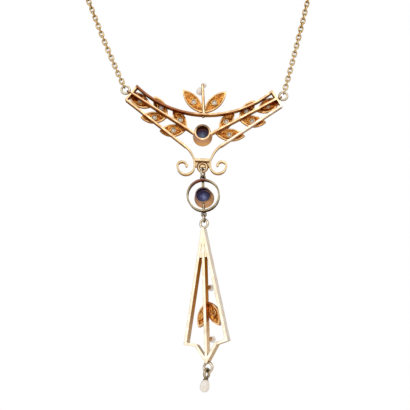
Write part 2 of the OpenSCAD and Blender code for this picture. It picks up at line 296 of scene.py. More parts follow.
@dataclass(frozen=True)
class Surface:
    """What the tints of one material can read.

    Attributes:
        tree: The material's tree.
        point: Position in millimetres from the material's origin.
        across: Its X.
        deep: Its Y.
        height: Its Z.
        facing: How far the surface faces forward.
        worn: Normal with the edges rounded.
        buffed_and_lit: Share of a face that takes a buff's pale tone and painted highlight; the rest takes
            painted shade.
        grain: Noise that breaks tones up.
    """

    tree: Tree
    point: Socket
    across: Socket
    deep: Socket
    height: Socket
    facing: Socket
    worn: Socket
    buffed_and_lit: Socket
    grain: Socket

    def away(self, x: float = 0.0, z: float = 0.0) -> Socket:
        """Return the distance from an axis that runs forward, by its X and Z."""
        return from_axis(self.tree, self.point, x, z)

    def above(self, line: Line) -> Socket:
        """Measure the distance above a line in the plane of the necklace.

        Args:
            line: The line.

        Returns:
            Distance in millimetres, which is negative below the line.
        """
        fall = math.radians(line.fall)
        upward = Vector((math.sin(fall), 0.0, math.cos(fall)))
        place = add(self.tree, "ShaderNodeVectorMath", {0: self.point, 1: upward}, operation="DOT_PRODUCT")
        return add(self.tree, "ShaderNodeMath", {0: place.outputs["Value"],
                   1: Vector((line.x, 0.0, line.z)).dot(upward)}, operation="SUBTRACT").outputs[0]


@dataclass(frozen=True)
class WorkedGold:
    """Nine to fifteen carat gold, sawn, filed, soldered and polished by hand.

    The faces that look to the back and the front are bright and pale, from the buff and from painted
    highlight.
    The sides keep a darker tone of painted shade, and inside corners take a brown tone of old polish and
    painted shade.

    Attributes:
        name: Name of the material.
        bright: Colour of gold that a buff reaches, with painted highlight.
        warm: Warmer tone that clouds it.
        cloud_mm: Size of those clouds.
        side: Colour of the sides, which no buff has reached, with painted shade.
        side_dark: Tone that clouds the sides.
        side_cloud_mm: Size of those clouds.
        film_and_shade: Colour of old polish and painted shade in corners.
        shut: How much of that tone a corner takes, by how open it is.
        angle_mm: Width of a gap inside which the sides take that tone.
        rough: Roughness of a buffed face.
        side_rough: Roughness of a side.
        uneven: Least and most roughness of a buffed face, as shares of its roughness.
        streaks: Range of the grain over which it goes from the least to the most.
        grain_mm: Size of the grain.
        line_mm: Spacing of the filing lines, which are drawn coarser than real ones so that they show.
        line_deep_mm: Their depth.
        line_run: Shrink of their pattern along X, which draws them out that way.
        edge_mm: Radius that polishing has given to the edges.
        wave_mm: Height of the slow waves that hand work leaves in a face.
        wave_long_mm: Length of those waves.
        metallic: Share of bare metal, where the rest is a dull skin.
        reach: How far a face takes the pale tone and painted highlight, by how far it faces forward or
            backward.
        under: Range of the worn normal's Z over which an edge comes to look down.
        underside_lit: How much of the pale lit tone is left on worn edges that look down; the rest is painted
            shade.
        origin_mm: Point that the pattern is centred on.
        turn: Turn of the piece about the plumb line, in degrees.
    """

    name: str
    bright: str = "#FAE2BA"
    warm: str = "#E4B07A"
    cloud_mm: float = 1.8182
    side: str = "#DCA872"
    side_dark: str = "#BC8252"
    side_cloud_mm: float = 1.25
    film_and_shade: str = "#7C4420"
    shut: Fade = Fade(0.25, 0.85, 0.8, 0.0)
    angle_mm: float = 0.7
    rough: float = 0.12
    side_rough: float = 0.26
    uneven: tuple[float, float] = (0.75, 1.5)
    streaks: tuple[float, float] = (0.3, 0.75)
    grain_mm: float = 0.3125
    line_mm: float = 0.16
    line_deep_mm: float = 0.005
    line_run: float = 0.25
    edge_mm: float = 0.11
    wave_mm: float = 0.3
    wave_long_mm: float = 2.5
    metallic: float = 1.0
    reach: Fade = Fade(0.45, 0.8)
    under: tuple[float, float] = (-0.08, -0.5)
    underside_lit: float = 1.0
    origin_mm: Point = (0.0, 0.0, 0.0)
    turn: float = 0.0

    def surface(self, tree: Tree) -> Surface:
        """Set up the coordinates and masks that the tints share.

        Args:
            tree: The material's tree.

        Returns:
            The sockets.
        """
        turn = math.radians(self.turn)
        forward = (-math.sin(turn), math.cos(turn), 0.0)
        point = from_origin(tree, self.origin_mm, self.turn)
        parts = add(tree, "ShaderNodeSeparateXYZ", {0: point})
        where = add(tree, "ShaderNodeTexCoord")
        facing = add(tree, "ShaderNodeVectorMath", {0: where.outputs["Normal"], 1: forward},
                     operation="DOT_PRODUCT").outputs["Value"]
        either_way = add(tree, "ShaderNodeMath", {0: facing}, operation="ABSOLUTE").outputs[0]
        worn = add(tree, "ShaderNodeBevel", {"Radius": self.edge_mm * MM}, samples=4).outputs[0]
        held = add(tree, "ShaderNodeVectorTransform", {0: worn}, vector_type="NORMAL", convert_from="WORLD",
                   convert_to="OBJECT")
        upward = add(tree, "ShaderNodeSeparateXYZ", {0: held}).outputs["Z"]
        # Faces toward the back and the front, unless they look down, take painted highlight; the rest painted
        # shade.
        buffed_and_lit = level(tree, (either_way, self.reach), (upward, Fade(*self.under, 1.0, self.underside_lit)))
        grain = add(tree, "ShaderNodeTexNoise", {"Vector": point, "Scale": 1 / self.grain_mm, "Detail": 4.0,
                    "Roughness": 0.65})
        return Surface(tree, point, *parts.outputs, facing, worn, buffed_and_lit, grain.outputs["Fac"])

    def tint(self, on: Surface, colour: Socket) -> Socket:
        """Return the colour with the piece's own tones laid on it, of which plain gold has none."""
        return colour

    def corner(self, on: Surface) -> Socket | str:
        """Return the tone of old polish and painted shade in corners."""
        return self.film_and_shade

    def relief(self, on: Surface) -> Socket:
        """Round the edges, and add the waves and filing lines of hand work.

        Args:
            on: Coordinates and masks.

        Returns:
            The normal.
        """
        tree = on.tree
        waves = add(tree, "ShaderNodeTexNoise", {"Vector": on.point, "Scale": 1 / self.wave_long_mm,
                    "Detail": 1.0})
        wavy = add(tree, "ShaderNodeBump", {"Height": waves, "Distance": self.wave_mm * MM, "Strength": 1.0,
                   "Normal": on.worn})
        stretched = add(tree, "ShaderNodeVectorMath", {0: on.point, 1: (self.line_run, 1.0, 1.0)},
                        operation="MULTIPLY")
        lines = add(tree, "ShaderNodeTexNoise", {"Vector": stretched, "Scale": 1 / self.line_mm,
                    "Detail": 2.0})
        return add(tree, "ShaderNodeBump", {"Height": lines, "Distance": self.line_deep_mm * MM,
                   "Strength": 0.5, "Normal": wavy}).outputs[0]

    def make(self) -> Material:
        """Build the material.

        Returns:
            The material.
        """
        material, tree = blank_material(self.name)
        on = self.surface(tree)
        faced = clouded(tree, on.point, self.cloud_mm, self.bright, self.warm)
        sided = clouded(tree, on.point, self.side_cloud_mm, self.side, self.side_dark)
        # Pale tone on lit faces as painted highlight, side tone elsewhere as painted shade.
        colour = self.tint(on, lay(tree, sided, faced, on.buffed_and_lit))
        least, most = (self.rough * share for share in self.uneven)
        smooth = level(tree, (on.grain, Fade(*self.streaks, least, most)))
        roughness = add(tree, "ShaderNodeMix", {0: on.buffed_and_lit, 2: self.side_rough, 3: smooth},
                        data_type="FLOAT")
        # Ambient occlusion lays old polish and painted shade in closed corners.
        gap = add(tree, "ShaderNodeAmbientOcclusion", {"Distance": self.angle_mm * MM}, samples=8)
        tone = lay(tree, colour, self.corner(on), (gap.outputs["AO"], self.shut))
        # Gold keeps much of its tone in grazing reflections, so they are tinted too.
        glancing = add(tree, "ShaderNodeGamma", {"Color": tone, "Gamma": 0.5})
        shader = add(tree, "ShaderNodeBsdfPrincipled", {"Base Color": tone, "Specular Tint": glancing,
                     "Metallic": self.metallic, "Roughness": roughness, "Normal": self.relief(on)})
        add(tree, "ShaderNodeOutputMaterial", {"Surface": shader})
        return material


@dataclass(frozen=True)
class SettingGold(WorkedGold):
    """Gold with a round setting at its origin, whose wall is rosier, and whose hole and back rim carry
    painted shade.

    Attributes:
        wall_radius_mm: Outer radius of the setting.
        back_radius_mm: Outer radius of its back rim.
        bore_radius_mm: Radius inside which its hole takes painted shade.
        bore_edge_mm: Width of the soft edge of that dark.
        bore_share: How much of the hole's tone shows.
        back_mm: Distance from the origin forward to its back.
        lip_mm: Depths below the back over which the painted shade in the hole comes in.
        wall: Tone of the wall.
        wall_warm: Tone that clouds it.
        wall_cloud_mm: Size of those clouds.
        wall_share: How much of the wall's tone shows, by how buffed the place is.
        rim: Tone of the painted shade on the back rim.
        rim_shade: How much of it shows, by the height in millimetres, more toward the top.
        bore_shade: Tone of the painted shade in the hole.
    """

    wall_radius_mm: float = 2.3
    back_radius_mm: float = 1.92
    bore_radius_mm: float = 1.83
    bore_edge_mm: float = 0.04
    bore_share: float = 0.95
    back_mm: float = 0.0
    lip_mm: tuple[float, float] = (0.02, 0.2)
    wall: str = "#FFC88C"
    wall_warm: str = "#EAB8A2"
    wall_cloud_mm: float = 2.5
    wall_share: Fade = Fade(1.0, 0.0, 0.15, 0.9)
    rim: str = "#4E2E16"
    rim_shade: Fade = Fade(0.1, 1.1, high=0.85)
    bore_shade: str = "#9C7050"

    def tint(self, on: Surface, colour: Socket) -> Socket:
        """Tint the setting.

        Args:
            on: Coordinates and masks.
            colour: Colour so far.

        Returns:
            The new colour.
        """
        tree, away = on.tree, on.away()
        outside = Fade(self.wall_radius_mm + BLUR_MM, self.wall_radius_mm - BLUR_MM)
        wall = clouded(tree, on.point, self.wall_cloud_mm, self.wall, self.wall_warm)
        colour = lay(tree, colour, wall, (away, outside), (on.buffed_and_lit, self.wall_share))
        back = Fade(self.back_radius_mm + BLUR_MM, self.back_radius_mm)
        # Painted shade on the back rim, darker toward its top.
        colour = lay(tree, colour, self.rim, on.buffed_and_lit, (away, back), (on.height, self.rim_shade))
        # Painted shade in the hole behind the stone.
        hole = Fade(self.bore_radius_mm, self.bore_radius_mm - self.bore_edge_mm, high=self.bore_share)
        lip = Fade(*(self.back_mm + deep for deep in self.lip_mm))
        return lay(tree, colour, self.bore_shade, (away, hole), (on.deep, lip))


@dataclass(frozen=True)
class LeafyGold:
    """Tint of leaves whose backs lie deeper than the bars' backs.

    Attributes:
        back_mm: Distance from the origin forward to the leaves' backs.
        rim: Tone of their rims.
        rim_mm: Depths past those backs over which the rims' tone comes in.
        rim_share: How much of it shows.
        hollow: Tone of their hollow backs.
        hollow_mm: Depths past those backs over which it comes in.
        spotty: How much of it shows, by the grain.
        backward: How far a face belongs to a back, by how far it faces forward.
    """

    back_mm: float
    rim: str = "#E2B274"
    rim_mm: tuple[float, float] = (-0.1, -0.04)
    rim_share: float = 0.75
    hollow: str = "#CF8648"
    hollow_mm: tuple[float, float] = (0.02, 0.08)
    spotty: Fade = Fade(0.35, 0.7, 0.7)
    backward: Fade = Fade(-0.2, -0.5)

    def tint(self, on: Surface, colour: Socket) -> Socket:
        """Tint the leaves.

        Args:
            on: Coordinates and masks.
            colour: Colour so far.

        Returns:
            The new colour.
        """
        tree, back = on.tree, level(on.tree, (on.facing, self.backward))
        rim = Fade(*(self.back_mm + deep for deep in self.rim_mm), high=self.rim_share)
        hollow = Fade(*(self.back_mm + deep for deep in self.hollow_mm))
        colour = lay(tree, colour, self.rim, back, (on.deep, rim))
        return lay(tree, colour, self.hollow, back, (on.deep, hollow), (on.grain, self.spotty))


@dataclass(frozen=True)
class OpenworkGold(SettingGold):
    """Gold of the centrepiece: painted shade and painted dark reflection brown it under the bow and on its
    left half; it is greener at the scrolls.

    Attributes:
        leaf: Tint of the leaves.
        upper_side_shade: How much of the old polish and painted shade tone the sides take, by the height,
            more toward the top.
        olive: Tone of the scrolls and the bridge, which were cut from other stock.
        olive_low: How much of it shows, by the height.
        bow: Middle line of the upper bow.
        bow_half: How far a place belongs to the bow, by its distance from that line.
        brown: Tone of painted dark reflection on the bow.
        brown_left: How much of it shows, by X.
        tan: Tone of painted shade on the left branch.
        tan_left: How far a place belongs to the left branch, by X.
        tan_up: The same by the height.
        tan_patchy: How much of the tone shows, by the grain.
        tan_sides: The same by how buffed the place is.
        left_bar: Middle line of the left branch's bar.
        left_half: Distances above that line over which the bar's lower half of painted shade starts.
        left_foot: Distances above that line over which it ends.
        left_out: How much of the tone shows there, by X.
        rubbed_and_lit: Tone of painted highlight on the lower bar on the right.
        right_bar: Middle line of the right branch's bar.
        highlight_below: How far a place belongs to the lower bar, by its distance above that line.
        highlight_up: The same by the height, which leaves out the scroll.
        highlight_deep: The same by the depth, which leaves out the leaves.
        highlight_out: The same by X.
        highlight_patchy: How much of the tone shows, by the grain.
        bridge_film_and_shade: Tone of old polish and painted shade in the bridge's corners.
        bridge_top: How far a place belongs to the bridge, by the height.
    """

    leaf: LeafyGold = LeafyGold(2.2)
    upper_side_shade: Fade = Fade(-1.5, 2.5, high=0.3)
    olive: str = "#C2B08C"
    olive_low: Fade = Fade(-2.0, -5.0, high=0.75)
    bow: Arc = Arc(1.9, 27.2, 23.0)
    bow_half: Fade = Fade(0.5, 0.35)
    brown: str = "#8E5432"
    brown_left: Fade = Fade(2.0, -4.0, 0.25, 0.95)
    tan: str = "#A4622E"
    tan_left: Fade = Fade(-1.5, -3.5)
    tan_up: Fade = Fade(-0.5, 0.5)
    tan_patchy: Fade = Fade(0.35, 0.7, 0.4)
    tan_sides: Fade = Fade(1.0, 0.0, 0.1, 0.9)
    left_bar: Line = Line(-2.2, 0.05, 35.2)
    left_half: Fade = Fade(0.05, -0.05)
    left_foot: Fade = Fade(-0.32, -0.28)
    left_out: Fade = Fade(-2.4, -3.4, high=0.95)
    rubbed_and_lit: str = "#FFE8D0"
    right_bar: Line = Line(0.0, 0.0, -27.2)
    highlight_below: Fade = Fade(-2.8, -3.2)
    highlight_up: Fade = Fade(-4.5, -3.0)
    highlight_deep: Fade = Fade(2.0, 1.8)
    highlight_out: Fade = Fade(4.0, 6.0)
    highlight_patchy: Fade = Fade(0.35, 0.7, 0.95, 0.7)
    bridge_film_and_shade: str = "#A88450"
    bridge_top: Fade = Fade(-5.6, -6.2)

    def tint(self, on: Surface, colour: Socket) -> Socket:
        """Tint the scrolls, the bow, the bars, the setting and the leaves.

        Args:
            on: Coordinates and masks.
            colour: Colour so far.

        Returns:
            The new colour.
        """
        tree = on.tree
        # Painted shade on the unlit sides, darker toward the top, under the bow and the leaves.
        colour = lay(tree, colour, self.film_and_shade, (on.buffed_and_lit, UNBUFFED_AND_UNLIT), (on.height, self.upper_side_shade))
        colour = lay(tree, colour, self.olive, on.buffed_and_lit, (on.height, self.olive_low))
        # Painted shade in patches on the left branch, mostly on its sides.
        colour = lay(tree, colour, self.tan, (on.across, self.tan_left), (on.height, self.tan_up),
                     (on.grain, self.tan_patchy), (on.buffed_and_lit, self.tan_sides))
        # Painted dark reflection along the bow, heaviest on its left half.
        past = add(tree, "ShaderNodeMath", {0: on.away(self.bow.x, self.bow.z), 1: self.bow.radius},
                   operation="SUBTRACT")
        off_bow = add(tree, "ShaderNodeMath", {0: past}, operation="ABSOLUTE").outputs[0]
        colour = lay(tree, colour, self.brown, (off_bow, self.bow_half), (on.across, self.brown_left))
        # Painted shade on the lower half of the left branch's bar, standing for its shaded underside.
        above = on.above(self.left_bar)
        colour = lay(tree, colour, self.tan, (above, self.left_half), (above, self.left_foot), on.buffed_and_lit,
                     (on.across, self.left_out))
        # Painted highlight on the lower bar on the right.
        colour = lay(tree, colour, self.rubbed_and_lit, (on.above(self.right_bar), self.highlight_below),
                     (on.height, self.highlight_up), (on.deep, self.highlight_deep), (on.across, self.highlight_out),
                     (on.grain, self.highlight_patchy))
        return self.leaf.tint(on, super().tint(on, colour))

    def corner(self, on: Surface) -> Socket:
        """Return the tone of old polish and painted shade in corners, which is paler on the bridge."""
        return lay(on.tree, self.film_and_shade, self.bridge_film_and_shade, (on.height, self.bridge_top))


@dataclass(frozen=True)
class RingGold(SettingGold):
    """Gold of the ring drop: red brown at the top of the ring, greyer and darker below.

    Attributes:
        red: Tone of the top.
        ring_in: How far a place belongs to the ring, by its distance from the axis.
        ring_out: The same at the ring's outer edge.
        red_up: How much of the tone shows, by the height.
        red_left: The same by X.
    """

    red: str = "#7E4C42"
    ring_in: Fade = Fade(3.1, 3.3)
    ring_out: Fade = Fade(4.2, 4.05)
    red_up: Fade = Fade(1.0, 3.2, high=0.9)
    red_left: Fade = Fade(1.8, 0.2, 0.1)

    def tint(self, on: Surface, colour: Socket) -> Socket:
        """Tint the ring and the setting.

        Args:
            on: Coordinates and masks.
            colour: Colour so far.

        Returns:
            The new colour.
        """
        away = on.away()
        colour = lay(on.tree, colour, self.red, (away, self.ring_in), (away, self.ring_out),
                     (on.height, self.red_up), (on.across, self.red_left))
        return super().tint(on, colour)


@dataclass(frozen=True)
class DropGold(WorkedGold):
    """Gold of the long drop: pale outside, with painted shade in red brown on the inner sides of its bars.

    Attributes:
        leaf: Tint of the leaves.
        apex_mm: Height where the outer bars meet.
        tall_mm: Height of the bars below it.
        slope: How far the outer bars lean out, to one side, for each millimetre down.
        inner: Tones of the painted shade on the inner sides with their heights, from the top down.
        inner_side: How far a place is a side, by how buffed it is.
        inner_streaks: How much the tone of old polish and painted shade streaks them, by the grain.
        bar_deep_mm: Depth of the bars.
        cups_mm: Heights of the pearls' cups in front of the middle bar.
        cup_shade: Tone of painted shade in the cups, which no buff reaches.
        cup_round: How far a place belongs to a cup, by its distance from the cup's axis.
    """

    leaf: LeafyGold = LeafyGold(0.68, rim="#C98E44")
    apex_mm: float = -22.6
    tall_mm: float = 30.0
    slope: float = 0.206
    inner: tuple[tuple[float, str], ...] = ((-26.0, "#7E4A24"), (-40.0, "#C08858"), (-50.0, "#ECD2B2"))
    inner_side: Fade = Fade(0.6, 0.1)
    inner_streaks: Fade = Fade(0.5, 0.75, high=0.7)
    bar_deep_mm: float = 1.76
    cups_mm: tuple[float, ...] = (-35.8, -47.5)
    cup_shade: str = "#54411E"
    cup_round: Fade = Fade(1.0, 0.9)

    def tint(self, on: Surface, colour: Socket) -> Socket:
        """Tint the inner sides, the cups and the leaves.

        Args:
            on: Coordinates and masks.
            colour: Colour so far.

        Returns:
            The new colour.
        """
        tree = on.tree
        # Painted shade between the bars, darkest near the apex and paler toward the foot.
        (top, first), (middle, second), (foot, third) = self.inner
        brown = lay(tree, first, second, (on.height, Fade(top, middle)))
        brown = lay(tree, brown, third, (on.height, Fade(middle, foot)))
        brown = lay(tree, brown, self.film_and_shade, (on.grain, self.inner_streaks))
        lean = Fade(self.apex_mm, self.apex_mm - self.tall_mm, 0.0, self.tall_mm * self.slope)
        off_middle = add(tree, "ShaderNodeMath", {0: on.across}, operation="ABSOLUTE")
        within = add(tree, "ShaderNodeMath", {0: level(tree, (on.height, lean)), 1: off_middle},
                     operation="SUBTRACT").outputs[0]
        colour = lay(tree, colour, brown, (within, Fade(-BLUR_MM, BLUR_MM)), (on.buffed_and_lit, self.inner_side))
        in_front = level(tree, (on.deep, Fade(self.bar_deep_mm - BLUR_MM, self.bar_deep_mm)))
        # Painted shade in the pearls' cups in front of the middle bar.
        for height in self.cups_mm:
            colour = lay(tree, colour, self.cup_shade, (on.away(0.0, height), self.cup_round), in_front)
        return self.leaf.tint(on, colour)


@dataclass(frozen=True)
class Corundum:
    """Blue sapphire, cut and polished: a hard, clear stone with a high index.

    From behind it is painted lightest where light comes through, and darker toward its edge as painted shade.
    It also gives off that tone faintly, as painted light through the stone.

    Attributes:
        name: Name of the material.
        node: Node of the stone, whose middle the tones are centred on.
        light: Tone of the lightest spot.
        body: Tone round it.
        edge: Tone of the edge, as painted shade.
        low_mm: How far the lightest spot lies below the middle.
        zone_mm: Size of the colour zones of a natural stone.
        zone: How far they shift the tones outward, in millimetres.
        body_mm: Distances from the lightest spot over which the body's tone comes in.
        edge_mm: Distances over which the edge's tone comes in.
        rough: Roughness of the polished facets.
        index: Index of refraction.
        clear: Share of light that goes straight through.
        painted_glow: Strength of the painted light that it gives off, for light coming through from the
            front.
    """

    name: str
    node: str
    light: str = "#94A4BE"
    body: str = "#6C7A94"
    edge: str = "#625064"
    low_mm: float = 0.35
    zone_mm: float = 1.1111
    zone: Fade = Fade(0.3, 0.7, -0.25, 0.25)
    body_mm: Fade = Fade(0.1, 0.8)
    edge_mm: Fade = Fade(0.75, 1.35)
    rough: float = 0.05
    index: float = 1.77
    clear: float = 0.1
    painted_glow: float = 0.26

    def make(self) -> Material:
        """Build the material.

        Returns:
            The material.
        """
        material, tree = blank_material(self.name)
        low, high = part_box(self.node)
        point = from_origin(tree, (low + high) / 2 / MM - Vector((0, 0, self.low_mm)))
        zones = add(tree, "ShaderNodeTexNoise", {"Vector": point, "Scale": 1 / self.zone_mm, "Detail": 1.0})
        shift = level(tree, (zones.outputs["Fac"], self.zone))
        off = add(tree, "ShaderNodeMath", {0: from_axis(tree, point), 1: shift}, operation="ADD").outputs[0]
        tone = lay(tree, self.light, self.body, (off, self.body_mm))
        tone = lay(tree, tone, self.edge, (off, self.edge_mm))
        # Emission of the stone's tone is painted light coming through from the front.
        shader = add(tree, "ShaderNodeBsdfPrincipled", {"Base Color": tone, "Roughness": self.rough,
                     "IOR": self.index, "Transmission Weight": self.clear, "Emission Color": tone,
                     "Emission Strength": self.painted_glow})
        add(tree, "ShaderNodeOutputMaterial", {"Surface": shader})
        return material


@dataclass(frozen=True)
class Nacre:
    """Natural pearl: layers of nacre with a soft lustre and a faint cloud of cream and grey.

    Attributes:
        name: Name of the material.
        light: Main tone.
        cloud: Tone of the clouds.
        cloud_mm: Size of the clouds.
        rough: Roughness of the nacre.
        index: Index of refraction.
        coat: Share of the outermost layer, which gives the lustre.
        coat_rough: Roughness of that layer.
        milky: Share of light that spreads inside.
        milky_mm: How far it spreads.
        painted_glow: Tone of the painted light that it gives off, for light coming through from the front.
        painted_glow_share: Strength of that painted light.
    """

    name: str
    light: str = "#FBF4EE"
    cloud: str = "#DCD3CA"
    cloud_mm: float = 2.2222
    rough: float = 0.22
    index: float = 1.56
    coat: float = 0.5
    coat_rough: float = 0.12
    milky: float = 0.08
    milky_mm: float = 0.4
    painted_glow: str = "#FFF1E8"
    painted_glow_share: float = 0.14

    def make(self) -> Material:
        """Build the material.

        Returns:
            The material.
        """
        material, tree = blank_material(self.name)
        tone = clouded(tree, from_origin(tree, (0.0, 0.0, 0.0)), self.cloud_mm, self.light, self.cloud)
        # Emission is painted light coming through the nacre.
        shader = add(tree, "ShaderNodeBsdfPrincipled", {"Base Color": tone, "Roughness": self.rough,
                     "IOR": self.index, "Coat Weight": self.coat, "Coat Roughness": self.coat_rough,
                     "Subsurface Weight": self.milky, "Subsurface Scale": self.milky_mm * MM,
                     "Emission Color": linear(self.painted_glow), "Emission Strength": self.painted_glow_share})
        add(tree, "ShaderNodeOutputMaterial", {"Surface": shader})
        return material


@dataclass(frozen=True)
class PaintedBoard:
    """White board with a matt coat, which throws light back up.

    Attributes:
        name: Name of the material.
        white: Tone of the coat.
        rough: Its roughness.
    """

    name: str = "matt_white_board"
    white: str = "#F2F0EC"
    rough: float = 0.9

    def make(self) -> Material:
        """Build the material.

        Returns:
            The material.
        """
        material, tree = blank_material(self.name)
        shader = add(tree, "ShaderNodeBsdfPrincipled", {"Base Color": linear(self.white),
                     "Roughness": self.rough})
        add(tree, "ShaderNodeOutputMaterial", {"Surface": shader})
        return material


def start_group(name: str, inputs: dict[str, str]) -> tuple[Tree, bpy.types.bpy_prop_collection]:
    """Start a Geometry Nodes tree that works on an object's geometry.

    Args:
        name: Name of the tree.
        inputs: Kind of socket for each named input, past the geometry.

    Returns:
        The tree, and the sockets that bring in its inputs.
    """
    tree = bpy.data.node_groups.new(name, "GeometryNodeTree")
    for title, kind in {"Geometry": "Geometry", **inputs}.items():
        tree.interface.new_socket(title, in_out="INPUT", socket_type=f"NodeSocket{kind}")
    tree.interface.new_socket("Geometry", in_out="OUTPUT", socket_type="NodeSocketGeometry")
    return tree, add(tree, "NodeGroupInput").outputs


def end_group(tree: Tree, points: Node, form: Node, turn: Node, material: Socket) -> None:
    """End a tree with one form at each point, as smooth real geometry with a material.

    Args:
        tree: The tree.
        points: Where the forms go.
        form: The form.
        turn: Its turn at each point.
        material: Its material.
    """
    placed = add(tree, "GeometryNodeInstanceOnPoints", {"Points": points, "Instance": form, "Rotation": turn})
    solid = add(tree, "GeometryNodeRealizeInstances", {0: placed})
    smooth = add(tree, "GeometryNodeSetShadeSmooth", {0: solid})
    dressed = add(tree, "GeometryNodeSetMaterial", {"Geometry": smooth, "Material": material})
    add(tree, "NodeGroupOutput", {0: dressed})


def run_group(tree: Tree, guide: bpy.types.Mesh, sizes: dict[str, Any], name: str) -> bpy.types.Object:
    """Run a tree on a mesh, and keep the result as a plain piece at the origin.

    Args:
        tree: The tree.
        guide: Mesh that it works on.
        sizes: Value of each named input.
        name: Name of the piece.

    Returns:
        The piece.
    """
    source = put(f"{name}_guide", guide)
    modifier = source.modifiers.new(tree.name, "NODES")
    modifier.node_group = tree
    for item in tree.interface.items_tree:
        if item.in_out == "INPUT" and item.name in sizes:
            modifier[item.identifier] = sizes[item.name]
    bpy.context.view_layer.update()
    graph = bpy.context.evaluated_depsgraph_get()
    mesh = bpy.data.meshes.new_from_object(source.evaluated_get(graph))
    mesh.name = name
    bpy.data.objects.remove(source)
    return put(name, mesh)


@dataclass
class LinkChain:
    """Fine trace chain between a jump ring and the clasp.

    Attributes:
        side: End of the centrepiece that it hangs from.
        route_mm: Points of its route after the jump ring and before the clasp, as in the part's source.
        length_mm: Length over one link.
        width_mm: Width over one link.
        wire_mm: Diameter of the wire.
        pitch_mm: Distance from one link to the next.
        loose: Most that a link is turned on its neighbours, in degrees.
        seed: Seed of those turns.
        ring_mm: Mean radius of the jump ring.
        ring_wire_mm: Radius of its wire.
        slack_mm: Gap between the first link and the jump ring's wire.
        clasp_end_mm: Distance from the middle of the clasp to the last link's middle.
        steps: Points of the fine line for each point of the route.
        link_points: Points round one link.
        wire_sides: Sides of the wire.
    """

    side: Side
    route_mm: Sequence[Point]
    length_mm: float = 1.78
    width_mm: float = 1.30
    wire_mm: float = 0.35
    pitch_mm: float = 1.035
    loose: float = 5.0
    seed: int = 7
    ring_mm: float = 0.94
    ring_wire_mm: float = 0.25
    slack_mm: float = 0.02
    clasp_end_mm: float = 5.10
    steps: int = 24
    link_points: int = 16
    wire_sides: int = 6

    @property
    def node(self) -> str:
        """Name of the CAD tube that the links stand for."""
        return f"chain_{self.side.name.lower()}"

    def ends(self) -> tuple[Vector, Vector]:
        """Find both ends of the line that the links' middles lie on.

        Returns:
            The middles of the first link, in the jump ring, and of the last, in the clasp's ring.
        """
        low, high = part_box(f"jump_ring_{self.side.name.lower()}")
        ring = (low + high) / 2
        toward = (Vector(self.route_mm[0]) * MM - ring).normalized()
        reach = self.ring_mm - self.ring_wire_mm - self.slack_mm - self.wire_mm / 2
        reach += (self.length_mm - self.wire_mm) / 2
        return ring + toward * reach * MM, Vector((self.side.value * self.clasp_end_mm * MM, 0, 0))

    def path(self) -> list[Vector]:
        """Draw a smooth curve through the route, each stretch of it by its two ends and their neighbours.

        Returns:
            Points of a fine line from the first link's middle to the last's.
        """
        first, last = self.ends()
        route = [first, *(Vector(p) * MM for p in self.route_mm), last]
        line: list[Vector] = []
        for i in range(len(route) - 1):
            a, b = route[max(i - 1, 0)], route[i]
            c, d = route[i + 1], route[min(i + 2, len(route) - 1)]
            for k in range(self.steps):
                t = k / self.steps
                line.append(0.5 * (2 * b + (c - a) * t + (2 * a - 5 * b + 4 * c - d) * t**2
                                   + (3 * b - a - 3 * c + d) * t**3))
        return [*line, route[-1]]

    def holes(self, line: list[Vector]) -> list[Vector]:
        """Work out the direction that the hole of an even link faces, all along the line.

        It starts and ends square to the rings there, and the turn between them is spread evenly.

        Args:
            line: Points of the path.

        Returns:
            One unit vector for each point.
        """
        last = len(line) - 1
        ahead = [(line[min(i + 1, last)] - line[max(i - 1, 0)]).normalized() for i in range(len(line))]
        forward = Vector((0, 1, 0))
        facing = [ahead[0].cross(forward).normalized()]
        for before, now in zip(ahead, ahead[1:]):
            facing.append((before.rotation_difference(now) @ facing[-1]).normalized())
        wanted = ahead[-1].cross(forward).normalized()
        short = math.atan2(facing[-1].cross(wanted).dot(ahead[-1]), facing[-1].dot(wanted))
        short -= math.pi * round(short / math.pi)
        return [Matrix.Rotation(short * i / last, 3, ahead[i]) @ facing[i] for i in range(len(line))]

    def count(self, line: list[Vector]) -> int:
        """Count the links that fit the line: an odd number, so that both end links are square to their rings.

        Args:
            line: Points of the path.

        Returns:
            Number of links.
        """
        length = sum((b - a).length for a, b in zip(line, line[1:])) / MM
        gaps = round(length / self.pitch_mm / 2) * 2
        log.info("%s: %.1f mm, %d links, pitch %.3f mm", self.node, length, gaps + 1, length / gaps)
        return gaps + 1

    def tree(self) -> Tree:
        """Build the node tree that threads oval links on a line with a direction on each point.

        Returns:
            The tree.
        """
        tree, given = start_group(f"links_{self.side.name.lower()}", {
            "Links": "Int", "Half Width": "Float", "Half Straight": "Float", "Wire Radius": "Float",
            "Round Points": "Int", "Wire Sides": "Int", "Loose Turn": "Float", "Seed": "Int",
            "Material": "Material"})

        ring = add(tree, "GeometryNodeCurvePrimitiveCircle", {"Resolution": given["Round Points"],
                   "Radius": given["Half Width"]})
        place = add(tree, "GeometryNodeInputPosition")
        apart = add(tree, "ShaderNodeSeparateXYZ", {0: place})
        sign = add(tree, "ShaderNodeMath", {0: apart.outputs["X"]}, operation="SIGN")
        push = add(tree, "ShaderNodeMath", {0: sign, 1: given["Half Straight"]}, operation="MULTIPLY")
        offset = add(tree, "ShaderNodeCombineXYZ", {"X": push})
        oval = add(tree, "GeometryNodeSetPosition", {"Geometry": ring, "Offset": offset})
        wire = add(tree, "GeometryNodeCurvePrimitiveCircle", {"Resolution": given["Wire Sides"],
                   "Radius": given["Wire Radius"]})
        link = add(tree, "GeometryNodeCurveToMesh", {"Curve": oval, "Profile Curve": wire})

